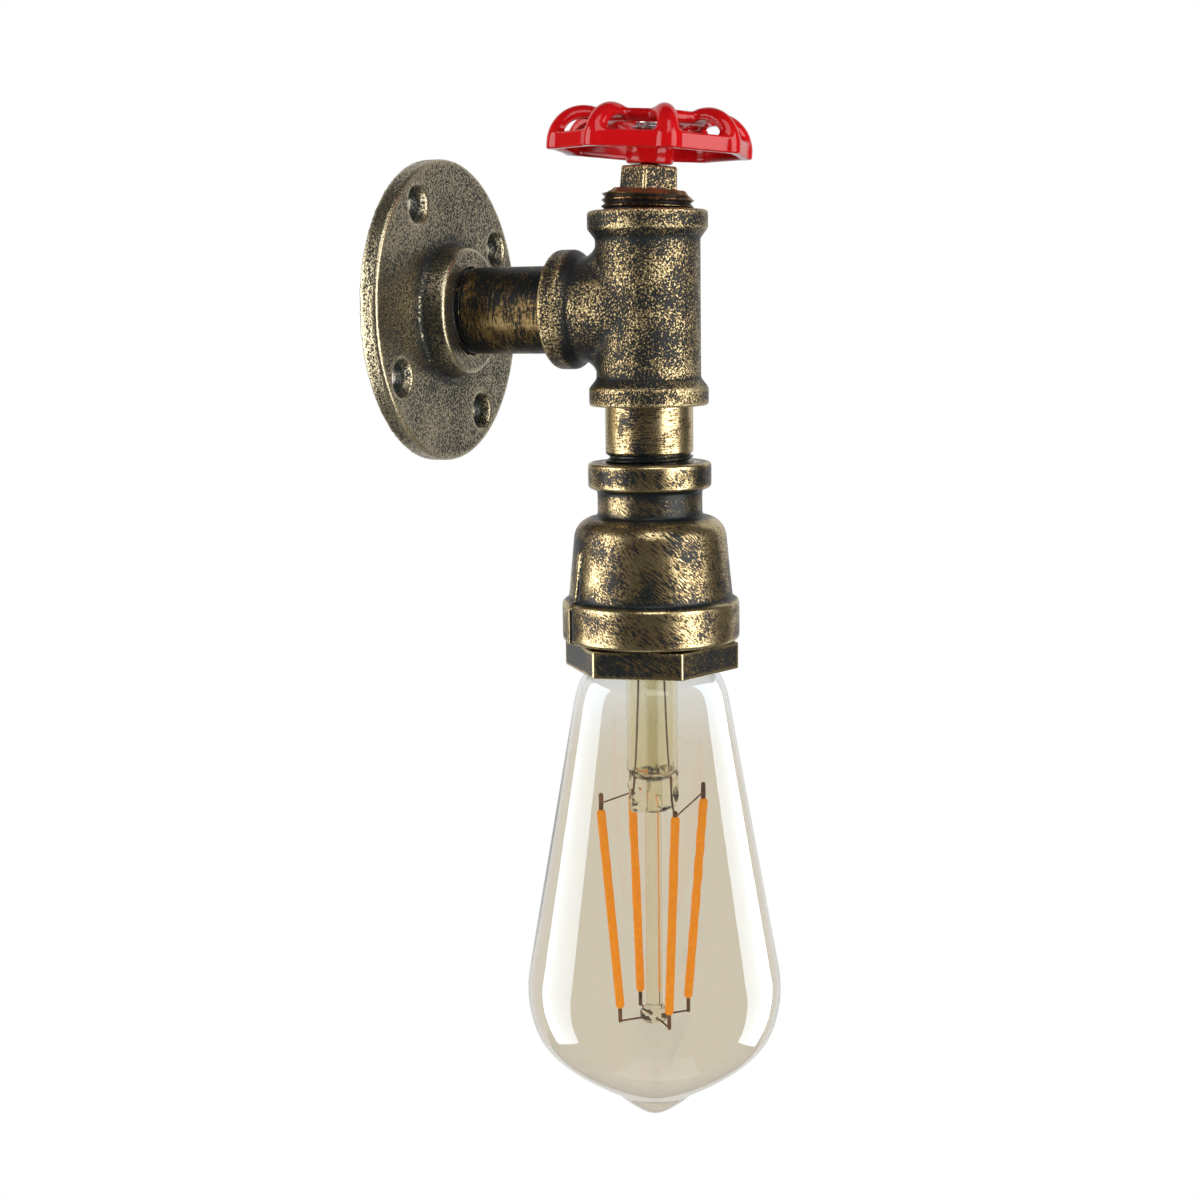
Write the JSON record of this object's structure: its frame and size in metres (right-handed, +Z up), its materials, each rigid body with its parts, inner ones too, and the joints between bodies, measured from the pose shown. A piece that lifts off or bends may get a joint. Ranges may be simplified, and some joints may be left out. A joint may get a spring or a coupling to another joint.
{
  "type": "pipe wall light",
  "caption": "Wall light built of pipe fittings: a wall flange and arm, a tee with a red valve handwheel on top, and a bell fitting that holds a bare pear-shaped filament bulb.",
  "frame": {"origin": "centre of the flange back face, on the wall", "axes": "+Y into the wall, +Z up, the lamp stands out along -Y"},
  "size_m": [0.0756, 0.091, 0.254],
  "materials": {
    "flange_bronze": "cast iron, black with antique gold dry-brushed over fine mottled texture",
    "pipe_bronze": "steel pipe, black with streaky antique gold brushed round it",
    "tee_bronze": "rough cast iron, black pits under antique gold",
    "plug_bronze": "cast iron, dark thread with rust, gold on the head",
    "wheel_red": "glossy red enamel on a casting",
    "zinc": "bright zinc-plated steel",
    "bell_bronze": "smooth cast iron, black with slanting antique gold brush strokes",
    "hex_bronze": "nearly black, gold on the edges and in fine scratches",
    "porcelain": "white glazed porcelain",
    "brass": "plain rolled brass",
    "lead_brown": "brown wire insulation",
    "lead_blue": "blue wire insulation",
    "amber_glass": "clear glass with a pale amber coating",
    "stem_glass": "clear pressed glass",
    "filament": "orange phosphor coating",
    "bulb_wire": "copper-coated wire",
    "cap_brass": "thin rolled brass",
    "cap_black": "black insulating glass",
    "solder": "dull tinned contact",
    "board_green": "green circuit board",
    "capacitor_black": "black capacitor sleeve"
  },
  "bodies": {
    "fixture": {"wall_flange": "flange_bronze", "arm_nipple": "pipe_bronze", "pipe_tee": "tee_bronze", "valve_plug": "plug_bronze", "wheel_washer": "zinc", "wheel_screw": "zinc", "drop_nipple": "pipe_bronze", "bell_reducer": "bell_bronze", "hex_bushing": "hex_bronze", "holder_body": "porcelain", "holder_shell": "brass", "holder_contact": "brass", "holder_terminals": "brass", "terminal_screws": "brass", "live_lead": "lead_brown", "neutral_lead": "lead_blue"},
    "handwheel": {"handwheel": "wheel_red"},
    "lamp_contact": {"cap_contact": "solder"},
    "lamp": {"bulb_glass": "amber_glass", "bulb_stem": "stem_glass", "bulb_filaments": "filament", "filament_wires": "bulb_wire", "bulb_cap": "cap_brass", "cap_insulator": "cap_black", "driver_board": "board_green", "driver_capacitor": "capacitor_black"}
  },
  "joints": [
    {"name": "handwheel_turn", "type": "hinge", "parent": "fixture", "child": "handwheel", "pos_m": [0, -0.0588, 0.0235], "axis": [0.0209, -0.0518, 0.9984], "continuous": true},
    {"name": "lamp_advance", "type": "slide", "parent": "fixture", "child": "lamp_contact", "axis": [0, 0, -1], "range_m": [0, 0.01815]},
    {"name": "lamp_turn", "type": "hinge", "parent": "lamp_contact", "child": "lamp", "pos_m": [0, -0.0588, -0.1], "axis": [0, 0, -1], "range_deg": [0, 1800]}
  ],
  "couplings": [
    {"joint": "lamp_advance", "follows": "lamp_turn", "m_per_rad": 0.00057757}
  ]
}
